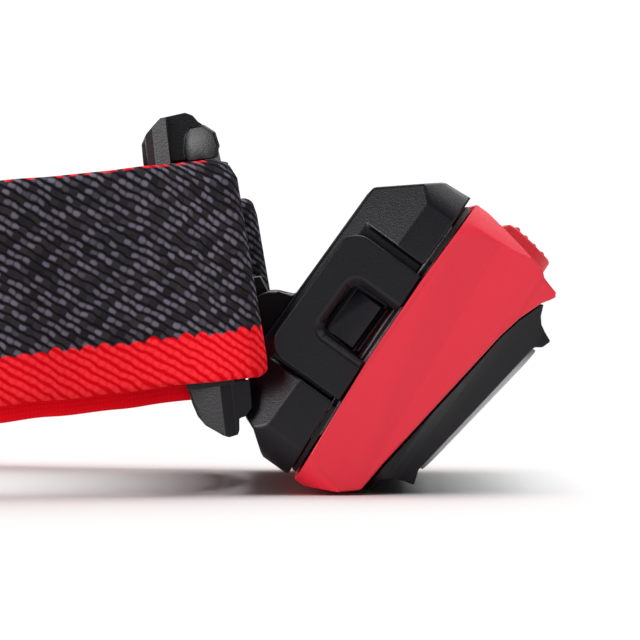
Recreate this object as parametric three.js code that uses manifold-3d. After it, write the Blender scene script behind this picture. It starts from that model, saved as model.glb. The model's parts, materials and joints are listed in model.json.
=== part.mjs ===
// A battery headlamp: a hinged two-part lamp on a forehead bracket, held by an elastic webbing loop.
// Millimetres, +Z up, +X the way the wearer looks, +Y to the wearer's left.
// The lamp is modelled in its own frame (X out of the lens, Z up its back) and then tilted nose down.

import * as THREE from 'three';
import { mergeVertices } from 'three/addons/utils/BufferGeometryUtils.js';
import Module from 'manifold-3d';

const wasm = await Module();
wasm.setup();

// ---- driving dimensions -------------------------------------------------------------------------

const LAMP_TILT = 35.8; // degrees nose down, as it stands
const STRAP_TILT = 6.5; // degrees the bracket and the strap's front rise
const PIVOT_IN_LAMP = [-0.65, -6.0]; // tilt axis in the lamp frame: X, Z

const LAMP_HALF_WIDTH = 29;
const CAVITY_HALF_WIDTH = 25.2;

const CELL_RADIUS = 5.1; // AAA size
const CELL_LENGTH = 44.5;
const CELL_DEPTH = 7.0; // cell axis behind the battery lid, lamp X
const CELL_HEIGHTS = [-11.0, -0.4, 10.2]; // cell axes, lamp Z
const CELL_SHIFT = 0.9; // each cell sits this far towards its positive contact
const CRADLE_RADIUS = 5.35;

const LID_HINGE = [10.15, 29.6]; // lid hinge axis, lamp X and Y
const LID_PIN_RADIUS = 0.8;
const LATCH_AXIS = [11.9, -27.2]; // latch hinge axis, lamp X and Y
const LATCH_PIN_RADIUS = 0.5;
const TILT_PIN_RADIUS = 1.0;
const RUNNING_GAP = 0.05; // radial clearance of a pin in its hole

const WEB_WIDTH = 24.6; // elastic webbing
const WEB_THICKNESS = 1.7;
const WEB_MID = 6.2; // middle of the webbing above the tilt axis
const LOOP_BACK = -184; // rear of the loop behind the tilt axis
const BACK_LIFT = 7.25; // how far the loop's rear bows up out of the strap's plane
const FAR_SLIP = 1.6; // how far the far side has slipped down its slot

const SLIDER_AT = [-65.45, 46.4]; // slider centre in the strap frame
const SLIDER_TURN = -15.64; // degrees about Z, along the straight of the webbing
const LAYER_STEP = 3.3; // middle to middle of the two layers in the slider

const ROUND = 24; // segments of a round piece

// ---- finishes -----------------------------------------------------------------------------------

const finish = (color, roughness, metalness) => ({ color, roughness, metalness });
const RED_SHELL = finish(0xe2323f, 0.55, 0);
const RED_RUBBER = finish(0xe63a48, 0.7, 0);
const BLACK_PLASTIC = finish(0x26252a, 0.45, 0);
const DARK_RUBBER = finish(0x1c1c1f, 0.8, 0);
const WEBBING = finish(0x3a333d, 0.9, 0);
const FOAM = finish(0x2b292e, 0.95, 0);
const CLEAR = finish(0xdfe2e6, 0.1, 0);
const MIRROR = finish(0xc9ccd2, 0.15, 1);
const STEEL = finish(0xb0b2b6, 0.3, 1);
const BOARD = finish(0x1f5a3c, 0.6, 0);
const LED = finish(0xf1e27a, 0.4, 0);
const CELL = finish(0x46505c, 0.35, 0.3);

// ---- solids -------------------------------------------------------------------------------------

const radians = (degrees) => (degrees * Math.PI) / 180;

function toSolid(geometry) {
  const plain = geometry.clone();
  plain.deleteAttribute('normal');
  plain.deleteAttribute('uv');
  const merged = mergeVertices(plain, 1e-4);
  const mesh = new wasm.Mesh({
    numProp: 3,
    vertProperties: new Float32Array(merged.attributes.position.array),
    triVerts: new Uint32Array(merged.index.array),
  });
  return new wasm.Manifold(mesh);
}

function toGeometry(solid) {
  const mesh = solid.getMesh();
  const geometry = new THREE.BufferGeometry();
  geometry.setAttribute('position', new THREE.BufferAttribute(mesh.vertProperties, 3));
  geometry.setIndex(new THREE.BufferAttribute(mesh.triVerts, 1));
  geometry.computeVertexNormals();
  return geometry;
}

const join = (...solids) => solids.reduce((a, b) => a.add(b));
const cut = (body, ...tools) => tools.reduce((a, b) => a.subtract(b), body);
const common = (...solids) => solids.reduce((a, b) => a.intersect(b));

function box(x, y, z) {
  const geometry = new THREE.BoxGeometry(x[1] - x[0], y[1] - y[0], z[1] - z[0]);
  geometry.translate((x[0] + x[1]) / 2, (y[0] + y[1]) / 2, (z[0] + z[1]) / 2);
  return toSolid(geometry);
}

function extrude(outline, depth) {
  const shape = Array.isArray(outline)
    ? new THREE.Shape(outline.map(([a, b]) => new THREE.Vector2(a, b)))
    : outline;
  return new THREE.ExtrudeGeometry(shape, { depth, bevelEnabled: false, curveSegments: 6 });
}

// An outline in X and Z, carried across Y.
function sideSolid(outline, y) {
  const geometry = extrude(outline, y[1] - y[0]);
  geometry.rotateX(Math.PI / 2);
  geometry.translate(0, y[1], 0);
  return toSolid(geometry);
}

// An outline in Y and Z, carried along X.
function frontSolid(outline, x) {
  const geometry = extrude(outline, x[1] - x[0]);
  const axes = new THREE.Matrix4().makeBasis(
    new THREE.Vector3(0, 1, 0),
    new THREE.Vector3(0, 0, 1),
    new THREE.Vector3(1, 0, 0),
  );
  geometry.applyMatrix4(axes);
  geometry.translate(x[0], 0, 0);
  return toSolid(geometry);
}

// An outline in X and Y, carried up Z.
function planSolid(outline, z) {
  const geometry = extrude(outline, z[1] - z[0]);
  geometry.translate(0, 0, z[0]);
  return toSolid(geometry);
}

function roundedRectangle(a, b, radius) {
  const shape = new THREE.Shape();
  shape.moveTo(a[0] + radius, b[0]);
  shape.lineTo(a[1] - radius, b[0]);
  shape.absarc(a[1] - radius, b[0] + radius, radius, -Math.PI / 2, 0);
  shape.lineTo(a[1], b[1] - radius);
  shape.absarc(a[1] - radius, b[1] - radius, radius, 0, Math.PI / 2);
  shape.lineTo(a[0] + radius, b[1]);
  shape.absarc(a[0] + radius, b[1] - radius, radius, Math.PI / 2, Math.PI);
  shape.lineTo(a[0], b[0] + radius);
  shape.absarc(a[0] + radius, b[0] + radius, radius, Math.PI, Math.PI * 1.5);
  return shape;
}

// Both halves of an outline given for one side only: (x, half width) becomes a closed plan.
const bothSides = (half) => [...half, ...half.map(([x, y]) => [x, -y]).reverse()];

function rodY(x, z, radius, y) {
  const geometry = new THREE.CylinderGeometry(radius, radius, y[1] - y[0], ROUND);
  geometry.translate(x, (y[0] + y[1]) / 2, z);
  return toSolid(geometry);
}

function rodZ(x, y, radius, z) {
  const geometry = new THREE.CylinderGeometry(radius, radius, z[1] - z[0], ROUND);
  geometry.rotateX(Math.PI / 2);
  geometry.translate(x, y, (z[0] + z[1]) / 2);
  return toSolid(geometry);
}

// A turned piece whose axis runs along X: profile points are (radius, x).
function turnedX(profile, y, z, segments = ROUND) {
  const geometry = new THREE.LatheGeometry(profile.map(([r, x]) => new THREE.Vector2(r, x)), segments);
  geometry.rotateZ(-Math.PI / 2);
  geometry.translate(0, y, z);
  return toSolid(geometry);
}

function piece(name, solid, look) {
  const geometry = solid.isBufferGeometry ? solid : toGeometry(solid);
  const mesh = new THREE.Mesh(geometry, new THREE.MeshStandardMaterial(look));
  mesh.name = name;
  return mesh;
}

// ---- battery case (rear half of the lamp) -------------------------------------------------------

const REAR_SIDE = [
  [0, -11], [3.3, -16.5], [4.9, -17.1], [7.25, -18.9], [7.7, -19.1], [11.1, -19.1],
  [10.2, -8], [9.6, 7], [9.6, 18.2], [6.14, 17.9], [0, 12.8],
];
const REAR_PLAN = bothSides([[-0.5, 25.3], [0, 25.6], [6, LAMP_HALF_WIDTH], [12, LAMP_HALF_WIDTH]]);
const LAMP_FRONT = roundedRectangle([-29.2, 29.2], [-19.2, 18.3], 5);
const LATCH_BAY = { z: [-9.4, 8.9], floor: -26.6 };

function rearCase() {
  const [pivotX, pivotZ] = PIVOT_IN_LAMP;
  const body = common(
    sideSolid(REAR_SIDE, [-30, 30]),
    planSolid(REAR_PLAN, [-30, 30]),
    frontSolid(LAMP_FRONT, [-1, 13]),
  );
  const lugs = [-1, 1].map((side) => {
    const y = side < 0 ? [-8.6, -5.6] : [5.6, 8.6];
    const web = sideSolid([[0.6, -2.2], [-1.9, -3.25], [pivotX, pivotZ - 3], [0.6, pivotZ - 3]], y);
    return join(web, rodY(pivotX, pivotZ, 3.0, y));
  });
  const knuckles = [[-8, -3], [3, 8]].map((z) => join(
    rodZ(...LID_HINGE, 1.7, z),
    box([7.6, 9.3], [27.5, 29.6], z),
  ));
  const boss = common(
    planSolid([[4.6, -26.2], [4.6, -27.1], [5.2, -27.35], [7.2, -27.6], [8.7, -27.6], [8.7, -26.2]], [-3.35, 2.5]),
    sideSolid(roundedRectangle([4.6, 12], [-3.35, 2.5], 0.7), [-30, -26]),
  );
  const rim = box([9.15, 9.55], [-27.5, -26.3], [-3.35, 2.7]);
  const cradle = CELL_HEIGHTS.map((z) => rodY(CELL_DEPTH, z, CRADLE_RADIUS, [-CAVITY_HALF_WIDTH, CAVITY_HALF_WIDTH]));
  const mouth = box([CELL_DEPTH, 13], [-CAVITY_HALF_WIDTH, CAVITY_HALF_WIDTH], [-16.35, 15.55]);
  const shellSwing = rodZ(...LID_HINGE, 2.1, [-3, 3]);
  return cut(
    join(cut(body, box([-1, 12], [-31, LATCH_BAY.floor], LATCH_BAY.z), shellSwing), boss, rim, ...lugs, ...knuckles),
    ...cradle,
    mouth,
    rodY(pivotX, pivotZ, 2.9, [-5.45, 5.45]),
    rodY(pivotX, pivotZ, TILT_PIN_RADIUS + RUNNING_GAP, [-8, 8]),
    rodZ(...LID_HINGE, LID_PIN_RADIUS + RUNNING_GAP, [-9, 9]),
  );
}

function cell(z, side) {
  const half = CELL_LENGTH / 2;
  const profile = [
    [0, -half], [4.6, -half], [CELL_RADIUS, -half + 0.5], [CELL_RADIUS, half - 1.5],
    [4.6, half - 1], [1.9, half - 1], [1.7, half], [0, half],
  ];
  const geometry = new THREE.LatheGeometry(profile.map(([r, y]) => new THREE.Vector2(r, y)), ROUND);
  if (side < 0) geometry.rotateX(Math.PI);
  geometry.translate(CELL_DEPTH, side * CELL_SHIFT, z);
  return toSolid(geometry);
}

// The sides of the positive ends, one for each cell: neighbouring cells are turned about.
const POSITIVE_SIDES = [1, -1, 1];

function contactPlate(side) {
  const y = side < 0 ? [-25, -24.6] : [24.6, 25];
  const studs = CELL_HEIGHTS
    .filter((z, i) => POSITIVE_SIDES[i] === side)
    .map((z) => rodY(CELL_DEPTH, z, 1.6, side < 0 ? [-24.8, -23.4] : [23.4, 24.8]));
  const discs = CELL_HEIGHTS.map((z) => rodY(CELL_DEPTH, z, CRADLE_RADIUS - 0.3, y));
  return join(box([CELL_DEPTH, 10.6], y, [-14.6, 13.8]), ...discs, ...studs);
}

// A conical coil of wire between a cell's flat end and the plate behind it.
function contactSpring(z, side) {
  const points = [];
  const turns = 3;
  const stepsPerTurn = 10;
  const start = CELL_LENGTH / 2 - CELL_SHIFT + 0.35;
  const rise = 2.4;
  for (let i = 0; i <= turns * stepsPerTurn; i += 1) {
    const along = i / (turns * stepsPerTurn);
    const radius = 1.6 + 1.9 * along;
    const angle = 2 * Math.PI * turns * along;
    points.push(new THREE.Vector3(
      CELL_DEPTH + radius * Math.cos(angle),
      side * (start + rise * along),
      z + radius * Math.sin(angle),
    ));
  }
  const wire = new THREE.Shape().absarc(0, 0, 0.25, 0, 2 * Math.PI);
  return new THREE.ExtrudeGeometry(wire, {
    steps: turns * stepsPerTurn * 2,
    curveSegments: 6,
    bevelEnabled: false,
    extrudePath: new THREE.CatmullRomCurve3(points),
  });
}

// ---- front half of the lamp ---------------------------------------------------------------------

const SEAM = [[18.7, -15.6], [19.0, -11.8], [19.6, -6.7], [20.4, -0.9], [21.0, 4.35], [21.3, 7.5], [21.9, 10.4], [22.9, 13.2]];
const SHELL_SIDE = [
  [10.55, 18], [10.45, 7.1], [10.8, -3.8], [11.2, -8.9], [12.05, -19.1], [13.2, -19.1], [16.7, -17.3],
  ...SEAM, [23.5, 14.1], [23.8, 14.7], [23.5, 15.2], [22.5, 15.45], [21.5, 15.75], [20.85, 16.3],
  [17.5, 17.05], [14.3, 17.65], [12.1, 18],
];
const SHELL_PLAN = bothSides([[9, 29.2], [11, 29.2], [19, 27.9], [22, 27.1], [25, 26.4]]);
const SHELL_CAVITY_Z = [-16.2, 14.4];
const BUTTON_X = [14.8, 22];
const BUTTON_HALF_WIDTH = 8;

function frontShell() {
  const body = common(
    sideSolid(SHELL_SIDE, [-30, 30]),
    planSolid(SHELL_PLAN, [-30, 30]),
    frontSolid(LAMP_FRONT, [9, 26]),
  );
  const knuckle = join(rodZ(...LID_HINGE, 1.7, [-2.7, 2.7]), box([10.75, 12.2], [27.5, 30.6], [-2.7, 2.7]));
  const knuckleRelief = [[-8.3, -3], [3, 8.3]].map((z) => rodZ(...LID_HINGE, 2.1, z));
  const latchPockets = [[-9.2, -4.1], [3.5, 8.1]].map((z) => box([10, 13.4], [-28.5, -25.8], z));
  return cut(
    join(cut(body, rodZ(...LID_HINGE, 2.1, [-8.3, 8.3])), knuckle),
    ...knuckleRelief,
    ...latchPockets,
    box([9, 26], [-CAVITY_HALF_WIDTH, CAVITY_HALF_WIDTH], SHELL_CAVITY_Z),
    box([BUTTON_X[0] - 0.3, BUTTON_X[1] + 0.3], [-BUTTON_HALF_WIDTH - 0.3, BUTTON_HALF_WIDTH + 0.3], [13, 20]),
    rodZ(...LATCH_AXIS, LATCH_PIN_RADIUS, [-9.6, 8.4]),
    rodZ(...LID_HINGE, LID_PIN_RADIUS + RUNNING_GAP, [-9, 9]),
  );
}

const LENS_LINE = [[25.95, 8.6], [23.35, -9.95]]; // the lens's outer face, top and bottom
const LENS_HALF_WIDTH = 22.6;
const LENS_THICKNESS = 1.5;
const WINDOW = { y: [-21.3, 21.3], z: [-8.7, 7.5] };

// The lens's outline seen from the side: its face line carried back, grown all round by a gap.
function lensSolid(gap) {
  const [top, bottom] = LENS_LINE;
  const slab = sideSolid([
    [top[0] + gap, top[1] + gap],
    [top[0] - LENS_THICKNESS - gap, top[1] + gap],
    [bottom[0] - LENS_THICKNESS - gap, bottom[1] - gap],
    [bottom[0] + gap, bottom[1] - gap],
  ], [-25, 25]);
  const half = LENS_HALF_WIDTH + gap;
  return common(slab, frontSolid(roundedRectangle([-half, half], [bottom[1] - gap, top[1] + gap], 3.5), [20, 28]));
}

function bezel() {
  const seamGap = 0.2;
  const side = [
    ...SEAM.map(([x, z]) => [x + seamGap, z]),
    [23.35, 13.3], [23.9, 12.05], [24.5, 11.35], [25.3, 10.9], [26.45, 10.4], [26.1, 9.3], [25.35, 8.8],
    [22.8, -10.15], [23.0, -10.6], [23.4, -11.8], [22.3, -12.05], [21.4, -12.4], [20.5, -12.9], [19.75, -13.6], [19.4, -15.3],
  ];
  const plan = bothSides([
    [17, 27.6], [20.2, 27.0], [20.8, 25.9], [21.6, 24.9], [22.6, 24.2], [23.8, 23.7], [25.2, 23.4], [27, 23.4],
  ]);
  const outline = roundedRectangle([-27.6, 27.6], [-15.6, 13.4], 5);
  const body = common(sideSolid(side, [-30, 30]), planSolid(plan, [-30, 30]), frontSolid(outline, [17, 28]));
  return cut(body, box([17, 28], WINDOW.y, WINDOW.z), lensSolid(0.15));
}

const BOWLS = [{ y: -14.6, r: 5.2 }, { y: 0, r: 7.2 }, { y: 14.6, r: 5.2 }];
const BOARD_X = [14.9, 16.3];
const REFLECTOR_X = 16.7;

function reflector() {
  const face = LENS_LINE.map(([x, z]) => [x - LENS_THICKNESS - 0.5, z]);
  const block = sideSolid([[REFLECTOR_X, 7.2], [REFLECTOR_X, -8.4], [face[1][0] + 0.2, -8.4], [face[0][0] - 0.2, 7.2]], [-21, 21]);
  const bowls = BOWLS.map(({ y, r }) => turnedX(
    [[0, 16], [2.6, 16], [2.6, 17.2], [r * 0.62, 18.4], [r * 0.84, 20], [r, 22.2], [r * 1.08, 25.5], [0, 25.5]],
    y,
    -0.6,
  ));
  return cut(block, ...bowls);
}

function ledAt(y, size) {
  const half = size / 2;
  const dome = turnedX([[0, 16.7], [half * 0.9, 16.7], [half * 0.8, 17.3], [half * 0.45, 17.75], [0, 17.9]], y, -0.6, 16);
  return join(box([BOARD_X[1] + 0.02, 16.9], [y - half, y + half], [-0.6 - half, -0.6 + half]), dome);
}

const SCREWS = [[-22, -11.5], [22, -11.5], [-22, 10.5], [22, 10.5]];

function circuitBoard() {
  const plate = frontSolid(roundedRectangle([-24.5, 24.5], [-14.5, 13], 2), BOARD_X);
  const chips = join(
    box([16.2, 17.1], [-12, -7.5], [-13.4, -10.2]),
    box([16.2, 16.9], [6, 8.2], [-13, -11.8]),
    box([16.2, 16.9], [9.5, 11.7], [-13, -11.8]),
  );
  return cut(join(plate, chips), ...SCREWS.map(([y, z]) => turnedX([[0, 14], [0.9, 14], [0.9, 18], [0, 18]], y, z, 12)));
}

function boardScrew([y, z]) {
  return turnedX([[0, 12.8], [0.8, 12.8], [0.8, 16.35], [1.5, 16.35], [1.5, 17.0], [1.1, 17.3], [0, 17.3]], y, z, 12);
}

// The bulkhead that shuts the electronics off from the cells, with a boss for each screw.
function innerFrame() {
  const plate = frontSolid(roundedRectangle([-25, 25], [-16, 14.2], 2), [12.5, 13.5]);
  const bosses = SCREWS.map(([y, z]) => turnedX([[0, 13.3], [2, 13.3], [1.8, 14.8], [0, 14.8]], y, z, 12));
  const holes = SCREWS.map(([y, z]) => turnedX([[0, 12], [0.85, 12], [0.85, 15], [0, 15]], y, z, 12));
  return cut(join(plate, ...bosses), ...holes);
}

function caseSeal() {
  const gap = sideSolid([[9.85, 18], [9.85, 7], [10.35, -8], [11.25, -19], [11.75, -19], [10.95, -8.9], [10.5, -3.8], [10.3, 7], [10.4, 18]], [-29, 29]);
  const outer = frontSolid(roundedRectangle([-28.3, 28.3], [-18.4, 17.2], 4.5), [9, 13]);
  const inner = frontSolid(roundedRectangle([-25.4, 25.4], [-16.7, 15.7], 2.5), [8, 14]);
  const sideBays = [-1, 1].map((side) => box([8, 14], side < 0 ? [-30, -26.3] : [26.3, 30], [-9.8, 9.8]));
  return common(gap, cut(outer, inner, ...sideBays));
}

function modeButton() {
  const [x0, x1] = BUTTON_X;
  const side = [
    [x0, 13.7], [x1, 13.7], [x1, 16.8], [21.9, 18], [21.4, 18.2], [18.6, 18.7], [16.4, 18.95], [15.5, 18.9], [x0, 17.9],
  ];
  const pad = common(
    sideSolid(side, [-BUTTON_HALF_WIDTH, BUTTON_HALF_WIDTH]),
    planSolid(roundedRectangle([x0, x1], [-BUTTON_HALF_WIDTH, BUTTON_HALF_WIDTH], 2.4), [13, 20]),
  );
  const ribs = [16.6, 17.9, 19.2, 20.5].map((x, i) => rodY(x, 18.78 - 0.22 * i, 0.42, [-6.2, 6.2]));
  return join(pad, ...ribs);
}

function tactSwitch() {
  return join(box([16.35, 19.6], [-3, 3], [9, 12.2]), box([17.2, 19], [-1.2, 1.2], [12.1, 12.95]));
}

function latchArm() {
  const [axisX, axisY] = LATCH_AXIS;
  const plate = common(
    sideSolid([[0.6, -8.9], [10.85, -8.9], [10.15, 7.8], [0.6, 7.8]], [-28.9, -27.0]),
    sideSolid(roundedRectangle([0.6, 20], [-8.9, 7.8], 2.4), [-30, -26]),
  );
  const eyes = [[-8.9, -4.4], [3.8, 7.8]].map((z) => join(
    rodZ(axisX, axisY, 1.1, z),
    box([9.4, axisX], [-28.1, -26.95], z),
  ));
  const window = roundedRectangle([4.4, 14], [-3.65, 2.95], 0.9);
  const flare = new THREE.ExtrudeGeometry(window, {
    depth: 2, bevelThickness: 0.8, bevelSize: 0.8, bevelSegments: 1, curveSegments: 6,
  });
  flare.rotateX(Math.PI / 2);
  flare.translate(0, -28.9, 0);
  return cut(
    join(cut(plate, sideSolid(window, [-30, -26]), toSolid(flare)), ...eyes),
    rodZ(axisX, axisY, LATCH_PIN_RADIUS + RUNNING_GAP, [-10, 9]),
  );
}

// ---- bracket and webbing (strap frame, origin on the tilt axis) ---------------------------------

const BRACKET_LEAN = 0.055; // forward shift of the plate for each millimetre up
const PLATE_THICKNESS = 2.3;
const WING_Y = [28, 30.2];
const SLOT = { y: [23.2, 28.0], z: [-8.6, 19.2] };
const BAR_SIDE = [[-10.2, -6.6], [-4.7, -6.6], [-5.2, 18.3], [-12.2, 18.3]];
const TIP_SIDE = [
  [-10.2, -6.2], [-10.05, -6.9], [-9.8, -8.35], [-9.35, -9.8], [-8.6, -10.9], [-6.75, -12.2], [-6.1, -12.5],
  [-5.1, -12.35], [-4.9, -11.9], [-4.75, -10.55], [-4, -10.4], [-3.2, -9.5], [-3.1, -6.4], [-4.7, -6.2],
];
const TIP_PLAN = [[-11, 28], [-10.3, 28.4], [-6.4, 30.2], [-5.2, 29.2], [-3, 28.8], [-3, 28]];
const HEAD_SIDE = [
  [-12.2, 18.8], [-12.15, 21.1], [-11.5, 22.2], [-10.5, 23.1], [-9.65, 23.8], [-6.9, 24.1], [-6.1, 23.7],
  [-5.6, 22.95], [-3.9, 21.6], [-3.65, 20.2], [-3.8, 18.8],
];
const RIM_SIDE = [[-12.2, 18.1], [-12.15, 21.1], [-11.5, 22.2], [-10.5, 23.1], [-9.65, 23.8], [-9.05, 23.6], [-9.05, 18.1]];
const RIM_PLAN = [[-12.5, 28], [-10.75, 29.45], [-9.05, 30.2], [-9.05, 28]];
const KNOB_PROFILE = [[0, -1.6], [1.5, -1.6], [2.45, 0.1], [2.25, 0.4], [0, 0.8]]; // radius, height
const KNOB_SEAT = [-5.6, 29.05, 20.2];
const KNOB_AXIS = [-0.4, 0.9, 0.06];
const PLATE_FRONT = [
  [-29, -6], [-26, -10], [-22, -11], [-15, -11.4], [15, -11.4], [22, -11], [26, -10], [29, -6],
  [29, 20], [27.5, 22.8], [24, 22.4], [20.5, 22], [17.2, 18.6], [-17.2, 18.6], [-20.5, 22], [-24, 22.4], [-27.5, 22.8],
  [-29, 20],
];

const PLATE_SIDE = [[-20, 30], [-20, -6.6], [-10.1, -6.6], [-9.7, -8.35], [-9.25, -9.8], [-8.5, -10.9], [-6.7, -12], [5, -12], [5, 30]];

const plateFront = (y) => -4.3 - 3.2 * (Math.abs(y) / 28) ** 2.2;

function leaningPlate() {
  const stations = [-28.6, -24, -18, -12, -6, 0, 6, 12, 18, 24, 28.6];
  const outline = [
    ...stations.map((y) => [plateFront(y), y]),
    ...stations.toReversed().map((y) => [plateFront(y) - PLATE_THICKNESS, y]),
  ];
  const geometry = extrude(outline, 40);
  geometry.translate(0, 0, -14);
  const position = geometry.attributes.position;
  for (let i = 0; i < position.count; i += 1) {
    position.setX(i, position.getX(i) + BRACKET_LEAN * position.getZ(i));
  }
  return toSolid(geometry);
}

const mirrored = (route) => route.map(([x, y]) => [x, -y]);

// One wing, on the side given: the bar the webbing folds round, its rimmed head and its pointed foot.
// A nine-sided dome on the near wing's head, turned a little back along the strap.
function knob() {
  const profile = KNOB_PROFILE.map(([radius, height]) => new THREE.Vector2(radius, height));
  const [x, y, z] = KNOB_SEAT;
  const axis = new THREE.Vector3(KNOB_AXIS[0], -KNOB_AXIS[1], KNOB_AXIS[2]).normalize();
  const geometry = new THREE.LatheGeometry(profile, 9);
  geometry.applyQuaternion(new THREE.Quaternion().setFromUnitVectors(new THREE.Vector3(0, 1, 0), axis));
  geometry.translate(x, -y, z);
  return common(toSolid(geometry), box([-12, 0], [-31, -27], [18.65, 25]));
}

function wing(side) {
  const across = (inner, outer) => (side < 0 ? [-outer, -inner] : [inner, outer]);
  const plan = (outline) => (side < 0 ? mirrored(outline) : outline);
  const tip = common(sideSolid(TIP_SIDE, across(27, 31)), planSolid(plan(TIP_PLAN), [-14, -6]));
  const head = sideSolid(HEAD_SIDE, across(27, 28.7));
  const frame = join(
    sideSolid(BAR_SIDE, across(...WING_Y)),
    common(sideSolid(RIM_SIDE, across(27, 31)), planSolid(plan(RIM_PLAN), [18, 25])),
  );
  if (side < 0) return join(frame, tip, head, knob());
  const slippedWeb = box([-4.7, 0], [27, 31], [-8.2, -6]); // where the far side's webbing hangs lower
  return join(frame, cut(tip, slippedWeb), cut(head, box([-7.2, 0], [26, 31], [18.5, 25])));
}

function bracket() {
  const plate = common(leaningPlate(), frontSolid(PLATE_FRONT, [-20, 5]), sideSolid(PLATE_SIDE, [-30, 30]));
  const slots = [-1, 1].map((side) => {
    const y = side < 0 ? [-SLOT.y[1], -SLOT.y[0]] : SLOT.y;
    return box([-20, 5], y, SLOT.z);
  });
  const knuckle = join(
    rodY(0, 0, 2.6, [-5.2, 5.2]),
    sideSolid([[-5.4, -3.4], [0, -1.6], [0, 2.2], [-1, 4.8], [-5, 4.8]], [-5.2, 5.2]),
  );
  return cut(
    join(cut(plate, ...slots), wing(-1), wing(1), knuckle),
    rodY(0, 0, TILT_PIN_RADIUS, [-6, 6]),
  );
}

function foreheadPad() {
  const stations = [-20, -12.5, -5, 5, 12.5, 20];
  const rear = (y) => plateFront(y) - PLATE_THICKNESS - 0.75;
  const outline = [
    ...stations.map((y) => [rear(y), y]),
    ...stations.toReversed().map((y) => [rear(y) - 3.2, y]),
  ];
  return common(planSolid(outline, [-12, 24]), frontSolid(roundedRectangle([-20, 20], [-7.4, 18.2], 4), [-20, 0]));
}

const lift = (x) => BACK_LIFT * (x / LOOP_BACK) ** 2;
const slip = (x) => FAR_SLIP * THREE.MathUtils.smoothstep(x, -118, -80);
const webHeight = (x, y) => WEB_MID + lift(x) - (y > 0 ? slip(x) : 0);

// One side of the loop from the fold round the wing back to the joint behind the head, near side.
const SIDE_RUN = [
  [-5.5, -31.35], [-12, -31.4], [-20, -33.6], [-29, -37.3], [-40, -41], [-52.5, -44.5], [-65, -48],
  [-77.5, -51.5], [-90, -55], [-103, -57.8], [-118, -59],
];
const FOLD = [[-3.2, -30.9], [-2.2, -29.1], [-3.2, -27.3]];
const NEAR_TAIL = [[-5.5, -26.8], [-12, -26.9], [-18, -29.4], [-28, -34.4], [-40.8, -38.3], [-48, -40.2]];
const FAR_TAIL = [
  [-5.5, -26.8], [-12, -26.9], [-18, -28.4], [-28, -33.3], [-40.9, -37.8], [-53.4, -41.3], [-65.9, -44.8], [-78.4, -48.3], [-89, -51.3],
];
const BACK_RUN = [
  [-118.6, 59], [-135, 57.2], [-152, 50.4], [-168, 37.5], [-178, 22], [LOOP_BACK, 0], [-178, -22],
  [-168, -37.5], [-152, -50.4], [-135, -57.2], [-118.6, -59],
];

// Webbing swept along a route in plan, then raised to the height it runs at.
function webbing(route, steps) {
  const section = new THREE.Shape([
    new THREE.Vector2(-WEB_WIDTH / 2, -WEB_THICKNESS / 2),
    new THREE.Vector2(WEB_WIDTH / 2, -WEB_THICKNESS / 2),
    new THREE.Vector2(WEB_WIDTH / 2, WEB_THICKNESS / 2),
    new THREE.Vector2(-WEB_WIDTH / 2, WEB_THICKNESS / 2),
  ]);
  const points = route.map(([x, y]) => new THREE.Vector3(x, y, 0));
  const geometry = new THREE.ExtrudeGeometry(section, {
    steps,
    bevelEnabled: false,
    extrudePath: new THREE.CatmullRomCurve3(points, false, 'centripetal'),
  });
  const position = geometry.attributes.position;
  for (let i = 0; i < position.count; i += 1) {
    position.setZ(i, position.getZ(i) + webHeight(position.getX(i), position.getY(i)));
  }
  return geometry;
}

const nearRoute = [...SIDE_RUN.toReversed(), ...FOLD, ...NEAR_TAIL];
const FAR_FOLD = FOLD.map(([x, y]) => [x - 0.4, y]);
const farRoute = mirrored([...SIDE_RUN.toReversed(), ...FAR_FOLD, ...FAR_TAIL]);

function strapSlider() {
  const slotThickness = WEB_THICKNESS + 0.5;
  const half = [5.5, LAYER_STEP / 2 + slotThickness / 2 + 1.3, 15.6];
  const frame = common(
    box([-half[0], half[0]], [-half[1], half[1]], [-half[2], half[2]]),
    sideSolid(roundedRectangle([-half[0], half[0]], [-half[2], half[2]], 2), [-10, 10]),
  );
  const slots = [-1, 1].map((side) => {
    const middle = (side * LAYER_STEP) / 2;
    return box([-9, 9], [middle - slotThickness / 2, middle + slotThickness / 2], [-13.3, 13.3]);
  });
  return cut(frame, ...slots);
}

// ---- assembly -----------------------------------------------------------------------------------

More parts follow.
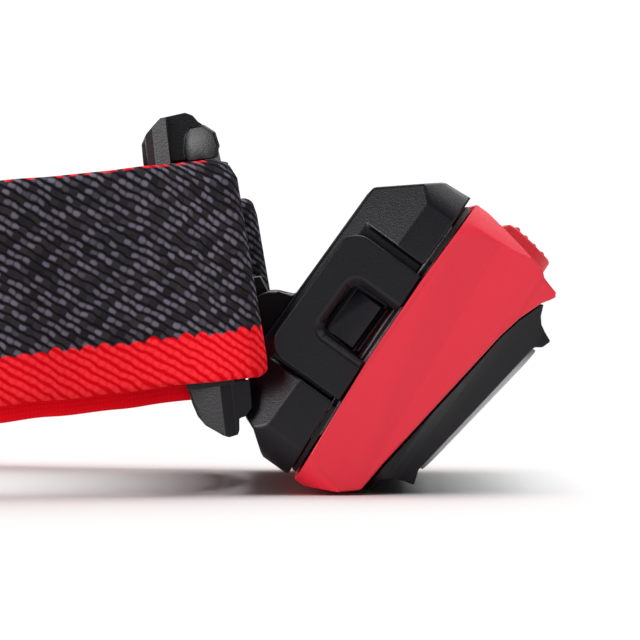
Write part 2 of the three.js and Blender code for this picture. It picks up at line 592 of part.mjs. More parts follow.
function lamp() {
  const group = new THREE.Group();
  group.add(
    piece('rear_case', rearCase(), BLACK_PLASTIC),
    piece('contact_plate_near', contactPlate(-1), STEEL),
    piece('contact_plate_far', contactPlate(1), STEEL),
    piece('lid_hinge_pin', rodZ(...LID_HINGE, LID_PIN_RADIUS, [-8, 8]), STEEL),
    piece('case_seal', caseSeal(), DARK_RUBBER),
    piece('front_shell', frontShell(), RED_SHELL),
    piece('bezel', bezel(), BLACK_PLASTIC),
    piece('lens', lensSolid(0), CLEAR),
    piece('reflector', reflector(), MIRROR),
    piece('spot_led', ledAt(BOWLS[1].y, 3.4), LED),
    piece('flood_led_near', ledAt(BOWLS[0].y, 2.6), LED),
    piece('flood_led_far', ledAt(BOWLS[2].y, 2.6), LED),
    piece('circuit_board', circuitBoard(), BOARD),
    piece('inner_frame', innerFrame(), BLACK_PLASTIC),
    piece('tact_switch', tactSwitch(), STEEL),
    piece('mode_button', modeButton(), RED_RUBBER),
    piece('latch_arm', latchArm(), BLACK_PLASTIC),
    piece('latch_pin', rodZ(...LATCH_AXIS, LATCH_PIN_RADIUS - 0.02, [-9.4, 8.2]), STEEL),
  );
  CELL_HEIGHTS.forEach((z, i) => {
    group.add(piece(`cell_${i + 1}`, cell(z, POSITIVE_SIDES[i]), CELL));
    group.add(piece(`contact_spring_${i + 1}`, contactSpring(z, -POSITIVE_SIDES[i]), STEEL));
  });
  SCREWS.forEach((place, i) => group.add(piece(`board_screw_${i + 1}`, boardScrew(place), STEEL)));
  const tilt = radians(LAMP_TILT);
  const [x, z] = PIVOT_IN_LAMP;
  group.rotation.y = tilt;
  group.position.set(-(x * Math.cos(tilt) + z * Math.sin(tilt)), 0, x * Math.sin(tilt) - z * Math.cos(tilt));
  return group;
}

function harness() {
  const group = new THREE.Group();
  const slider = piece('strap_slider', strapSlider(), BLACK_PLASTIC);
  slider.rotation.z = radians(SLIDER_TURN);
  slider.position.set(...SLIDER_AT, webHeight(...SLIDER_AT));
  group.add(
    piece('bracket', bracket(), BLACK_PLASTIC),
    piece('forehead_pad', foreheadPad(), FOAM),
    piece('tilt_pin', rodY(0, 0, TILT_PIN_RADIUS - 0.01, [-7.8, 7.8]), STEEL),
    piece('strap_near', webbing(nearRoute, 84), WEBBING),
    piece('strap_back', webbing(BACK_RUN, 32), WEBBING),
    piece('strap_far', webbing(farRoute, 96), WEBBING),
    slider,
  );
  group.rotation.y = -radians(STRAP_TILT);
  return group;
}

// The headlamp stands on the lamp's lower edge and the loop's rear edge; the origin is under its middle.
const headlamp = new THREE.Group();
headlamp.add(lamp(), harness());
headlamp.updateMatrixWorld(true);
const bounds = new THREE.Box3().setFromObject(headlamp, true);
const middle = bounds.getCenter(new THREE.Vector3());
headlamp.position.set(-middle.x, -middle.y, -bounds.min.z);

export default headlamp;
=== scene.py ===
"""A tilting headlamp on an elastic head loop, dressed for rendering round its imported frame."""

import json
import math

import bmesh
import bpy
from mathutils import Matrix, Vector
from mathutils.geometry import interpolate_bezier


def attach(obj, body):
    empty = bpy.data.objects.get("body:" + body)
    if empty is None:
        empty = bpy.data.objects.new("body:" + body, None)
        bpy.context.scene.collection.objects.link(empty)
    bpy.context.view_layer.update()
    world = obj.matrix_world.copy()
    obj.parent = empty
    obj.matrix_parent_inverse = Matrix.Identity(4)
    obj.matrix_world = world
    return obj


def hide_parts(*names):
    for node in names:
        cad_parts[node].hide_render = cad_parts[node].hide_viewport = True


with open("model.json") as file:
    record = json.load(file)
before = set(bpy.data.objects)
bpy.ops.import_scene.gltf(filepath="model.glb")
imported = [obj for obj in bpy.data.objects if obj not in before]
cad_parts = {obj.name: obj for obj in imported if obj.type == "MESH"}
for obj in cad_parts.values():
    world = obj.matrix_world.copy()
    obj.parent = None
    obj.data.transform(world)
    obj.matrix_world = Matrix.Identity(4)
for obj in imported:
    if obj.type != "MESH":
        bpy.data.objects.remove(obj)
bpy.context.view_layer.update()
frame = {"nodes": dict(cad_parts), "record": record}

# ---- driving values: places in metres, the strap's own sizes in millimetres ----------------------

MM = 0.001
JOINTS = {j["name"]: j for j in frame["record"]["behaviour"]["joints"]}
PIVOT = Vector(JOINTS["lamp_tilt"]["pos_m"])
LAMP_UP = Vector(JOINTS["lid_hinge"]["axis"])
LAMP_OUT = Vector((LAMP_UP.z, 0, -LAMP_UP.x))
STRAP_TILT = math.radians(6.5)
STRAP_UP = Vector((-math.sin(STRAP_TILT), 0, math.cos(STRAP_TILT)))
STRAP_FORE = Vector((STRAP_UP.z, 0, -STRAP_UP.x))

WEB_WIDTH = 24.6
WEB_THICKNESS = 1.6
WEB_MID = 6.2  # the webbing's middle above the tilt axis
LOOP_BACK = -184
BACK_LIFT = 7.25
TAIL_DROP = 1.9
STRIPE = 5.4


def strap_point(x, y, z):
    """A point in the strap's own frame, in millimetres, as a place in the scene."""
    return PIVOT + (STRAP_FORE * x + Vector((0, y, 0)) + STRAP_UP * z) * MM


# ---- node materials -----------------------------------------------------------------------------


class Shader:
    """A node tree with one Principled shader, and short ways to add to it."""

    def __init__(self, name):
        self.material = bpy.data.materials.new(name)
        self.material.use_nodes = True
        self.tree = self.material.node_tree
        self.bsdf = self.tree.nodes["Principled BSDF"]

    def node(self, kind, **settings):
        made = self.tree.nodes.new(kind)
        for key, value in settings.items():
            setattr(made, key, value)
        return made

    def link(self, output, target):
        self.tree.links.new(output, target)

    def put(self, target, value):
        if hasattr(value, "is_linked"):
            self.link(value, target)
        else:
            target.default_value = value

    def math(self, operation, a, b=0.0, c=0.0):
        made = self.node("ShaderNodeMath", operation=operation)
        for socket, value in zip(made.inputs, (a, b, c)):
            self.put(socket, value)
        return made.outputs[0]

    def mix(self, factor, a, b, blend="MIX"):
        made = self.node("ShaderNodeMix", data_type="RGBA", blend_type=blend)
        self.put(made.inputs["Factor"], factor)
        self.put(made.inputs[6], a)
        self.put(made.inputs[7], b)
        return made.outputs[2]

    def ramp(self, value, low, high):
        made = self.node("ShaderNodeMapRange", interpolation_type="SMOOTHSTEP")
        self.put(made.inputs["Value"], value)
        made.inputs["From Min"].default_value = low
        made.inputs["From Max"].default_value = high
        return made.outputs[0]

    def coordinates(self, stretch=(1, 1, 1)):
        place = self.node("ShaderNodeTexCoord").outputs["Object"]
        if stretch == (1, 1, 1):
            return place
        mapping = self.node("ShaderNodeMapping")
        self.link(place, mapping.inputs["Vector"])
        mapping.inputs["Scale"].default_value = stretch
        return mapping.outputs[0]

    def noise(self, scale, detail=2.0, roughness=0.5, vector=None, stretch=(1, 1, 1)):
        made = self.node("ShaderNodeTexNoise")
        self.link(vector or self.coordinates(stretch), made.inputs["Vector"])
        made.inputs["Scale"].default_value = scale
        made.inputs["Detail"].default_value = detail
        made.inputs["Roughness"].default_value = roughness
        return made.outputs["Fac"]

    def bump(self, height, distance, strength=1.0, normal=None):
        made = self.node("ShaderNodeBump")
        made.inputs["Strength"].default_value = strength
        made.inputs["Distance"].default_value = distance
        self.put(made.inputs["Height"], height)
        if normal is not None:
            self.link(normal, made.inputs["Normal"])
        return made.outputs[0]

    def finish(self, color, roughness, normal=None, **sockets):
        self.put(self.bsdf.inputs["Base Color"], color)
        self.put(self.bsdf.inputs["Roughness"], roughness)
        if normal is not None:
            self.link(normal, self.bsdf.inputs["Normal"])
        for key, value in sockets.items():
            self.bsdf.inputs[key.replace("_", " ")].default_value = value
        return self.material


def shade(color, factor):
    return tuple(min(1.0, c * factor) for c in color[:3]) + (1.0,)


def moulded_plastic(
    name, color, roughness, grain=0.00002, grain_scale=5200, variation=0.12, **sockets
):
    """Moulded plastic: a fine spark texture, faint cloudiness, and rubbed, shinier edges."""
    s = Shader(name)
    cloud = s.noise(90, 3)
    spark = s.noise(grain_scale, 2, 0.6)
    worn = s.ramp(s.node("ShaderNodeNewGeometry").outputs["Pointiness"], 0.5, 0.56)
    tint = s.mix(cloud, shade(color, 1 - variation), shade(color, 1 + variation))
    tint = s.mix(s.math("MULTIPLY", worn, 0.35), tint, shade(color, 1.5))
    rough = s.math("ADD", roughness - 0.06, s.math("MULTIPLY", s.noise(500, 4), 0.12))
    return s.finish(tint, rough, s.bump(spark, grain), **sockets)


def rubber(name, color, roughness=0.62):
    s = Shader(name)
    dust = s.noise(260, 5, 0.65)
    pores = s.noise(3800, 3, 0.7)
    tint = s.mix(s.ramp(dust, 0.35, 0.75), shade(color, 0.9), shade(color, 1.12))
    rough = s.math("ADD", roughness - 0.05, s.math("MULTIPLY", dust, 0.15))
    return s.finish(tint, rough, s.bump(pores, 0.00003), Sheen_Weight=0.12)


def plated_metal(name, color, roughness, stretch=(1, 1, 14)):
    s = Shader(name)
    brush = s.noise(900, 3, 0.6, stretch=stretch)
    tint = s.mix(brush, shade(color, 0.85), shade(color, 1.08))
    rough = s.math("ADD", roughness, s.math("MULTIPLY", brush, 0.15))
    return s.finish(tint, rough, s.bump(brush, 0.000008), Metallic=1.0)


def mirror_coat():
    s = Shader("reflector_coat")
    ripple = s.noise(220, 2)
    tint = s.mix(ripple, (0.86, 0.87, 0.89, 1), (0.93, 0.94, 0.95, 1))
    return s.finish(tint, s.math("MULTIPLY", ripple, 0.12), s.bump(ripple, 0.00003), Metallic=1.0)


FACE_OPACITY = 0.2


def clear_window():
    """See-through on its face; its edge, which doesn't look out along the lamp, is frosted."""
    s = Shader("lens_clear")
    scuff = s.noise(1400, 6, 0.7)
    facing = s.node("ShaderNodeVectorMath", operation="DOT_PRODUCT")
    s.link(s.node("ShaderNodeTexCoord").outputs["Normal"], facing.inputs[0])
    facing.inputs[1].default_value = LAMP_OUT
    edge = s.ramp(s.math("ABSOLUTE", facing.outputs["Value"]), 0.8, 0.5)
    tint = s.mix(s.noise(60, 2), (0.93, 0.95, 0.97, 1), (0.98, 0.985, 0.99, 1))
    tint = s.mix(edge, tint, (0.70, 0.71, 0.75, 1))
    scratched = s.math("MULTIPLY_ADD", s.ramp(scuff, 0.62, 0.8), 0.18, 0.04)
    rough = s.math("MULTIPLY_ADD", edge, 0.4, scratched)
    opacity = s.math("MULTIPLY_ADD", edge, 1 - FACE_OPACITY, FACE_OPACITY)
    s.put(s.bsdf.inputs["Alpha"], opacity)
    return s.finish(tint, rough, s.bump(scuff, 0.000004), IOR=1.5)


def printed_board():
    s = Shader("solder_mask")
    tracks = s.node("ShaderNodeTexVoronoi", feature="DISTANCE_TO_EDGE")
    s.link(s.coordinates(), tracks.inputs["Vector"])
    tracks.inputs["Scale"].default_value = 420
    line = s.ramp(tracks.outputs["Distance"], 0.05, 0.09)
    tint = s.mix(line, (0.03, 0.20, 0.10, 1), (0.012, 0.10, 0.05, 1))
    return s.finish(tint, s.math("ADD", 0.3, s.math("MULTIPLY", line, 0.1)), s.bump(line, 0.00003))


def phosphor():
    s = Shader("led_phosphor")
    grain = s.noise(5000, 3)
    tint = s.mix(grain, (0.80, 0.62, 0.10, 1), (0.92, 0.80, 0.28, 1))
    rough = s.math("ADD", 0.25, s.math("MULTIPLY", grain, 0.2))
    return s.finish(tint, rough, s.bump(grain, 0.00001))


def cell_jacket():
    """A plain shrink-wrapped cell: dark, with a copper-coloured band at one end, and no print."""
    s = Shader("cell_jacket")
    place = s.node("ShaderNodeSeparateXYZ")
    s.link(s.coordinates(), place.inputs[0])
    band = s.ramp(place.outputs["Y"], 0.0118, 0.0122)
    scuff = s.noise(700, 5, 0.7)
    tint = s.mix(band, (0.02, 0.025, 0.03, 1), (0.55, 0.25, 0.10, 1))
    tint = s.mix(s.math("MULTIPLY", s.ramp(scuff, 0.5, 0.8), 0.3), tint, (0.3, 0.3, 0.32, 1))
    rough = s.math("ADD", 0.22, s.math("MULTIPLY", scuff, 0.2))
    return s.finish(tint, rough, s.bump(scuff, 0.00001), Metallic=0.5)


def knit_foam():
    s = Shader("pad_knit")
    cells = s.node("ShaderNodeTexVoronoi", feature="SMOOTH_F1")
    s.link(s.coordinates((1, 1, 0.7)), cells.inputs["Vector"])
    cells.inputs["Scale"].default_value = 1500
    loop = cells.outputs["Distance"]
    fuzz = s.noise(6000, 4, 0.7)
    # Painted shade: each knit loop is lighter at its middle and darker toward the gaps between
    # loops.
    tint = s.mix(s.ramp(loop, 0.1, 0.6), (0.055, 0.052, 0.06, 1), (0.012, 0.011, 0.014, 1))
    tint = s.mix(s.math("MULTIPLY", fuzz, 0.3), tint, (0.09, 0.085, 0.1, 1))
    inner = s.bump(fuzz, 0.00004)
    return s.finish(tint, 0.9, s.bump(loop, 0.00022, normal=inner), Sheen_Weight=0.35)


# The weave's pitches are in millimetres along the webbing, as its texture lengths are.
TWILL_ANGLE = math.radians(34)
RIB_PITCH = 0.95
GRAIN_PITCH = 0.95
HEATHER_PITCH = 3.4
TOOTH_PITCH = 1.9
PICK_PITCH = 0.42
END_PITCH = 0.5
DARK_YARN = (0.023, 0.0205, 0.023, 1)
GREY_YARN = (0.136, 0.123, 0.161, 1)
# Painted shade: the near-black colour drawn down the gaps between the twill's ribs.
PAINTED_GROOVE_SHADE = (0.0068, 0.0058, 0.0080, 1)
RED_YARN = (0.68, 0.0006, 0.0075, 1)
# Painted highlight: the paler red drawn on the crowns of the red ribs; the inner face also uses it
# for pale fibre flecks.
RED_YARN_LIT = (0.95, 0.030, 0.040, 1)


def weave_lengths(s):
    """Along and up the webbing, in millimetres, each wandering a little as real yarns do."""
    lengths = s.node("ShaderNodeUVMap", uv_map="weave").outputs[0]
    split = s.node("ShaderNodeSeparateXYZ")
    s.link(lengths, split.inputs[0])
    wobble = s.node("ShaderNodeTexNoise", noise_dimensions="2D")
    s.link(lengths, wobble.inputs["Vector"])
    wobble.inputs["Scale"].default_value = 0.6
    wobble.inputs["Detail"].default_value = 1
    shift = s.math("MULTIPLY", s.math("SUBTRACT", wobble.outputs["Fac"], 0.5), 0.5)
    return split.outputs["X"], split.outputs["Y"], shift


def dice(s, a, b):
    """The same chance number for every point of one grain."""
    cell = s.node("ShaderNodeCombineXYZ")
    s.put(cell.inputs[0], a)
    s.put(cell.inputs[1], b)
    made = s.node("ShaderNodeTexWhiteNoise", noise_dimensions="2D")
    s.link(cell.outputs[0], made.inputs["Vector"])
    return made.outputs["Value"]


def swell(s, position, power):
    """0 at each whole number and 1 midway: the swelling of a yarn between two crossings."""
    wave = s.math("SINE", s.math("MULTIPLY", s.math("FRACT", position), math.pi))
    return s.math("POWER", wave, power)


def twill(s):
    """The twill's relief and, for each of its grains, how light it is and a chance number; the
    lightness carries painted shade toward each grain's ends and sides.
    """
    u, v, shift = weave_lengths(s)
    cos, sin = math.cos(TWILL_ANGLE), math.sin(TWILL_ANGLE)
    along = s.math("ADD", s.math("MULTIPLY", u, cos), s.math("MULTIPLY", v, sin))
    across = s.math("SUBTRACT", s.math("MULTIPLY_ADD", v, cos, shift), s.math("MULTIPLY", u, sin))
    rib = s.math("DIVIDE", across, RIB_PITCH)
    number = s.math("FLOOR", rib)
    offset = s.math("MULTIPLY_ADD", dice(s, number, 3.0), 0.35, s.math("MULTIPLY", number, 0.38))
    grain = s.math("ADD", s.math("DIVIDE", along, GRAIN_PITCH), offset)
    count = s.math("FLOOR", grain)
    crown = swell(s, rib, 0.8)
    bead = swell(s, grain, 0.5)
    middle = s.math("SUBTRACT", s.math("ADD", count, 0.5), offset)
    heather_step = GRAIN_PITCH / HEATHER_PITCH
    run = s.math("MULTIPLY_ADD", middle, heather_step, s.math("MULTIPLY", number, 0.12))
    run = s.math("MULTIPLY_ADD", dice(s, number, 7.0), 0.45, run)
    chance = s.math("SUBTRACT", dice(s, number, count), 0.5)
    vote = s.math("MULTIPLY_ADD", chance, 0.5, s.math("PINGPONG", run, 0.5))
    oval = s.math("MULTIPLY", crown, s.math("MULTIPLY_ADD", bead, 0.38, 0.62))
    # Painted shade: the grey yarn shows full only on each grain's crown and darkens toward its ends
    # and sides.
    light = s.math("MULTIPLY", s.ramp(vote, 0.14, 0.34), s.ramp(oval, 0.50, 0.98))
    return u, v, crown, bead, light, dice(s, count, number)


def webbing_face():
    """The loop's outer face: a heathered twill over a red stripe along its lower edge, with painted
    shade down its grooves and painted highlights on its red ribs.
    """
    s = Shader("webbing_twill")
    u, v, crown, bead, light, chance = twill(s)
    fibre = s.noise(9000, 3, 0.7)
    dark = s.mix(chance, shade(DARK_YARN, 0.7), shade(DARK_YARN, 1.5))
    grey = s.mix(chance, shade(GREY_YARN, 0.8), shade(GREY_YARN, 1.15))
    # Painted shade: dark grains fade to the groove colour toward the gaps between ribs.
    heather = s.mix(light, s.mix(s.ramp(crown, 0.25, 0.8), PAINTED_GROOVE_SHADE, dark), grey)
    # Painted highlight: the red stripe is paler on each rib's crown and each grain's middle.
    lit = s.math("MULTIPLY", s.ramp(crown, 0.45, 0.95), s.math("MULTIPLY_ADD", bead, 0.45, 0.55))
    red = s.mix(lit, RED_YARN, RED_YARN_LIT)
    teeth = s.math("DIVIDE", u, TOOTH_PITCH)
    tooth = swell(s, teeth, 0.8)
    reach = s.math("MULTIPLY_ADD", dice(s, s.math("FLOOR", teeth), 5.0), 0.45, 0.3)
    edge = s.math("SUBTRACT", v, s.math("MULTIPLY_ADD", tooth, reach, STRIPE - 0.35))
    stripe = s.ramp(edge, 0.14, -0.14)
    top_edge = s.ramp(v, WEB_WIDTH - 0.32, WEB_WIDTH - 0.12)
    pick = s.math("MULTIPLY", top_edge, s.ramp(s.noise(700, 1), 0.48, 0.56))
    tint = s.mix(s.math("MAXIMUM", stripe, pick), heather, red)
    tint = s.mix(s.math("MULTIPLY", fibre, 0.15), tint, shade(GREY_YARN, 1.6), "SOFT_LIGHT")
    relief = s.math("MULTIPLY", crown, s.math("MULTIPLY_ADD", bead, 0.35, 0.65))
    inner = s.bump(fibre, 0.00003)
    normal = s.bump(relief, 0.0001, normal=inner)
    return s.finish(tint, 0.9, normal, Specular_IOR_Level=0.06)


def webbing_back():
    """The loop's inner face: a close plain weave in red."""
    s = Shader("webbing_plain")
    u, v, shift = weave_lengths(s)
    height = s.math("ADD", v, s.math("MULTIPLY", shift, 0.2))
    picks = swell(s, s.math("DIVIDE", u, PICK_PITCH), 0.8)
    ends = swell(s, s.math("DIVIDE", height, END_PITCH), 0.8)
    relief = s.math("MULTIPLY", picks, ends)
    fibre = s.noise(7000, 3, 0.7)
    # Painted highlight and shade: the red is paler where picks and ends cross over and darker
    # between them.
    tint = s.mix(relief, shade(RED_YARN, 1.12), shade(RED_YARN, 1.35))
    tint = s.mix(s.math("MULTIPLY", fibre, 0.12), tint, RED_YARN_LIT)
    inner = s.bump(fibre, 0.00002)
    normal = s.bump(relief, 0.00002, normal=inner)
    return s.finish(tint, 0.88, normal, Specular_IOR_Level=0.08)


def thread(name, color):
    s = Shader(name)
    twist = s.noise(4200, 2, stretch=(1, 1, 3))
    tint = s.mix(twist, shade(color, 0.7), shade(color, 1.25))
    return s.finish(tint, 0.7, s.bump(twist, 0.00003), Sheen_Weight=0.1)


def studio_floor():
    s = Shader("floor_paper")
    tone = s.noise(8, 2)
    return s.finish(s.mix(tone, (0.90, 0.90, 0.90, 1), (0.93, 0.93, 0.93, 1)), 0.9)


LOOKS = {
    "red_shell": moulded_plastic("red_shell", (0.63, 0.012, 0.032), 0.5, 0.000018, 4200, 0.06),
    "red_rubber": rubber("red_rubber", (0.74, 0.04, 0.06)),
    "black_plastic": moulded_plastic(
        "black_plastic", (0.0040, 0.0033, 0.0055), 0.34, Specular_IOR_Level=0.32
    ),
    "black_rubber": rubber("black_rubber", (0.012, 0.012, 0.013)),
    "pad_foam": knit_foam(),
    "clear_lens": clear_window(),
    "mirror_metal": mirror_coat(),
    "steel": plated_metal("steel", (0.56, 0.56, 0.58), 0.24),
    "board": printed_board(),
    "led": phosphor(),
    "cell_jacket": cell_jacket(),
}
TWILL = webbing_face()
PLAIN_WEAVE = webbing_back()
THREAD = thread("sewing_thread", (0.02, 0.018, 0.022))

# ---- rigid pieces: the CAD shapes with moulded edges --------------------------------------------

WELD = 0.000002  # corners closer than this are one
SLIVER = 0.00001  # edges shorter than this are dropped
BEVEL_SEGMENTS = 3


def slot_of(node):
    for row in frame["record"]["subparts"]:
        if row["node"] == node:
            return row["material_slot"]
    raise ValueError(node)


def dress_frame():
    """Gives every CAD node its slot's material."""
    for name, obj in frame["nodes"].items():
        look = LOOKS.get(slot_of(name))
        if look is None:
            continue
        for place in obj.material_slots:
            place.material = look


def body_holding(node):
    for body, nodes in frame["record"]["behaviour"]["bodies"].items():
        if node in nodes:
            return body
    raise ValueError(node)


def moulded(node, radius, sharp=28.0, narrow=0.6, flat=0.6):
    """A copy of a CAD node with its edges rounded, which stands for it.

    Edges that turn by more than `sharp` degrees are rounded, unless a face beside them is narrower
    than `narrow` times the radius. Faces that turn by less than `flat` degrees are merged first.
    """
    source = frame["nodes"][node]
    mesh = source.data.copy()
    obj = bpy.data.objects.new(f"{node}_moulded", mesh)
    bpy.context.scene.collection.objects.link(obj)
    bm = bmesh.new()
    bm.from_mesh(mesh)
    bmesh.ops.remove_doubles(bm, verts=bm.verts, dist=WELD)
    bmesh.ops.dissolve_degenerate(bm, edges=bm.edges, dist=SLIVER)
    cut_rings(bm, math.radians(flat))
    bmesh.ops.dissolve_limit(
        bm, angle_limit=math.radians(flat), verts=bm.verts, edges=bm.edges, delimit={"SEAM"}
    )
    bmesh.ops.dissolve_degenerate(bm, edges=bm.edges, dist=2 * SLIVER)
    mark_edges(bm, math.radians(sharp), narrow * radius * MM)
    bm.to_mesh(mesh)
    bm.free()
    bevel = obj.modifiers.new("edges", "BEVEL")
    bevel.width = radius * MM
    bevel.segments = BEVEL_SEGMENTS
    bevel.limit_method = "WEIGHT"
    bevel.use_clamp_overlap = False
    bevel.harden_normals = False
    weighted = obj.modifiers.new("flats", "WEIGHTED_NORMAL")
    weighted.keep_sharp = True
    for polygon in mesh.polygons:
        polygon.use_smooth = True
    mesh.materials.clear()
    mesh.materials.append(LOOKS[slot_of(node)])
    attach(obj, body_holding(node))
    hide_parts(node)
    return obj


def flat_areas(bm, flat):
    """The mesh's faces in groups, each of connected faces that turn by less than an angle."""
    left = dict.fromkeys(bm.faces)
    while left:
        area, stack = [], [next(iter(left))]
        del left[stack[0]]
        while stack:
            face = stack.pop()
            area.append(face)
            for edge in face.edges:
                if len(edge.link_faces) == 2 and edge.calc_face_angle(math.pi) < flat:
                    for other in edge.link_faces:
                        if other in left:
                            del left[other]
                            stack.append(other)
        yield area


def rims_of(area):
    """The boundary loops of an area, each as its corners' places."""
    inside = set(area)
    rim = [e for f in area for e in f.edges if sum(o in inside for o in e.link_faces) == 1]
    loops = []
    while rim:
        reached = dict.fromkeys(rim.pop().verts)
        grown = True
        while grown:
            joined = [e for e in rim if any(v in reached for v in e.verts)]
            rim = [e for e in rim if not any(v in reached for v in e.verts)]
            for edge in joined:
                reached.update(dict.fromkeys(edge.verts))
            grown = bool(joined)
        loops.append([v.co.copy() for v in reached])
    return loops


def cut_rings(bm, flat):
    """Cuts flat areas across their holes, so that merging their faces can't close the holes."""
    cuts = []
    for area in flat_areas(bm, flat):
        loops = rims_of(area) if len(area) > 2 else []
        if len(loops) < 2:
            continue
        spans = [max((p - loop[0]).length for p in loop) for loop in loops]
        normal = max(area, key=lambda f: f.calc_area()).normal
        level = Vector((0, 1, 0)) if abs(normal.y) < 0.8 else Vector((0, 0, 1))
        across = normal.cross(normal.cross(level).normalized()).normalized()
        holes = [loop for loop, span in zip(loops, spans) if span < max(spans)]
        cuts.append((area, across, [sum(loop, Vector()) / len(loop) for loop in holes]))
    for faces, across, centres in cuts:
        for centre in centres:
            edges = dict.fromkeys(e for f in faces for e in f.edges)
            corners = dict.fromkeys(v for f in faces for v in f.verts)
            parts = [*faces, *edges, *corners]
            done = bmesh.ops.bisect_plane(
                bm, geom=parts, dist=WELD / 2, plane_co=centre, plane_no=across
            )
            for item in done["geom_cut"]:
                if isinstance(item, bmesh.types.BMEdge):
                    item.seam = True
            faces = [f for f in done["geom"] if isinstance(f, bmesh.types.BMFace)]


def mark_edges(bm, sharp, shortest):
    """Marks the edges to round: those that turn sharply, between faces wider than the rounding."""
    weight = bm.edges.layers.float.new("bevel_weight_edge")
    for edge in bm.edges:
        if len(edge.link_faces) != 2 or edge.calc_face_angle() < sharp:
            continue
        if min(breadth(face) for face in edge.link_faces) > shortest:
            edge[weight] = 1.0
        else:
            edge.smooth = False


def breadth(face):
    """A face's area over its longest edge: about how wide it is."""
    return face.calc_area() / max(edge.calc_length() for edge in face.edges)


# ---- webbing ------------------------------------------------------------------------------------

# The loop's route in plan, in millimetres from the tilt axis, on the near side.
SIDE_RUN = [
    (-5.5, -31.35), (-12, -31.4), (-20, -33.6), (-29, -37.3), (-40, -41), (-52.5, -44.5),
    (-65, -48), (-77.5, -51.5), (-90, -55), (-103, -57.8), (-118, -59),
]
FOLD = [(-3.2, -30.9), (-2.2, -29.1), (-3.2, -27.3)]
NEAR_TAIL = [
    (-5.5, -26.8), (-12, -26.9), (-18, -29.4), (-28, -34.6), (-36, -37.8), (-44, -40.3),
    (-50, -42.0),
]
FAR_TAIL = [
    (-5.5, -26.8), (-12, -26.9), (-18, -28.4), (-28, -33.3), (-40.9, -37.8), (-53.4, -41.3),
    (-65.9, -44.8), (-78.4, -48.3), (-89, -51.3),
]
BACK_RUN = [(-135, -57.2), (-152, -50.4), (-168, -37.5), (-178, -22), (LOOP_BACK, 0)]
FAR_FOLD_BACK = 0.4
FAR_SLIP = 1.6  # how much lower the far side hangs
FAR_SLIP_SPAN = (-118, 38)  # where it starts, and over what length
TAIL_DROP_SPAN = (-4.2, 5.2)
GATHER_SPAN = (-13, 8)
FLAT_SPAN = (-11, 6)
TOP_CORNER = (10.0, 2.3)  # its height above the webbing's middle, and its own height
FOOT_CORNER = 11.3
FOLD_LEAN = 0.05
SCALLOP = 0.05  # the selvedge's ripple
FOLD_GATHER = 0.45  # how much closer the weave's grains sit at a fold
STEP = 0.45


def smooth_route(points, step):
    """A Catmull-Rom curve through points in plan, cut into even steps."""
    ends = [points[0], *points, points[-1]]
    fine = []
    for a, b, c, d in zip(ends, ends[1:], ends[2:], ends[3:]):
        a, b, c, d = (Vector((p[0], p[1], 0)) for p in (a, b, c, d))
        fine += interpolate_bezier(b, b + (c - a) / 6, c - (d - b) / 6, c, 32)[:-1]
    fine.append(Vector((*points[-1], 0)))
    even = [fine[0]]
    left = step
    for start, end in zip(fine, fine[1:]):
        span = (end - start).length
        while span > left:
            start = start + (end - start) * (left / span)
            even.append(start)
            span = (end - start).length
            left = step
        left -= span
    return even


def loop_route():
    """The whole loop: the near tail's sewn end, round the head, to the far tail's end."""
    far_fold = [(x - FAR_FOLD_BACK, y) for x, y in FOLD]
    far = [(x, -y) for x, y in SIDE_RUN[::-1] + far_fold + FAR_TAIL]
    back = BACK_RUN + [(x, -y) for x, y in BACK_RUN[-2::-1]]
    return NEAR_TAIL[::-1] + FOLD[::-1] + SIDE_RUN + back + far


def ease(value):
    value = min(1.0, max(0.0, value))
    return value * value * (3 - 2 * value)


def web_section():
    """The webbing's cross-section, going round it, as (across, through)."""
    half_w, half_t, count = WEB_WIDTH / 2, WEB_THICKNESS / 2, 16
    flat = half_w - half_t
    outer = [(flat * (2 * i / count - 1), half_t) for i in range(count + 1)]
    rounds = [math.radians(a) for a in (67.5, 45, 22.5, 0, -22.5, -45, -67.5)]
    right = [(flat + half_t * math.cos(a), half_t * math.sin(a)) for a in rounds]
    inner = [(-w, -t) for w, t in outer]
    left = [(-w, -t) for w, t in right]
    return outer + right + inner + left


def web_height(place, on_tail, near_end):
    """The middle of the webbing above the tilt axis, at a point of its route."""
    rise = WEB_MID + BACK_LIFT * (place.x / LOOP_BACK) ** 2
    if place.y > 0:
        rise -= FAR_SLIP * ease((place.x - FAR_SLIP_SPAN[0]) / FAR_SLIP_SPAN[1])
    if near_end and on_tail:
        rise -= TAIL_DROP * ease((TAIL_DROP_SPAN[0] - place.x) / TAIL_DROP_SPAN[1])
    return rise


def gather(place, across):
    """How the webbing settles at a fold: a lean, soft corners and, on the far side, a tuck."""
    at_fold = ease((place.x - GATHER_SPAN[0]) / GATHER_SPAN[1])
    top = max(0.0, across - TOP_CORNER[0]) / TOP_CORNER[1]
    foot = max(0.0, -across - FOOT_CORNER)
    forward = -(FOLD_LEAN * across + 1.5 * top * top + 0.6 * foot)
    rise = 0.0
    if place.y > 0:
        forward += 0.9 * top * top + 1.35 * ease((across + 11) / 8)
        rise = -2.4 * ease((across + WEB_WIDTH / 2) / WEB_WIDTH)
    return forward * at_fold, rise * at_fold


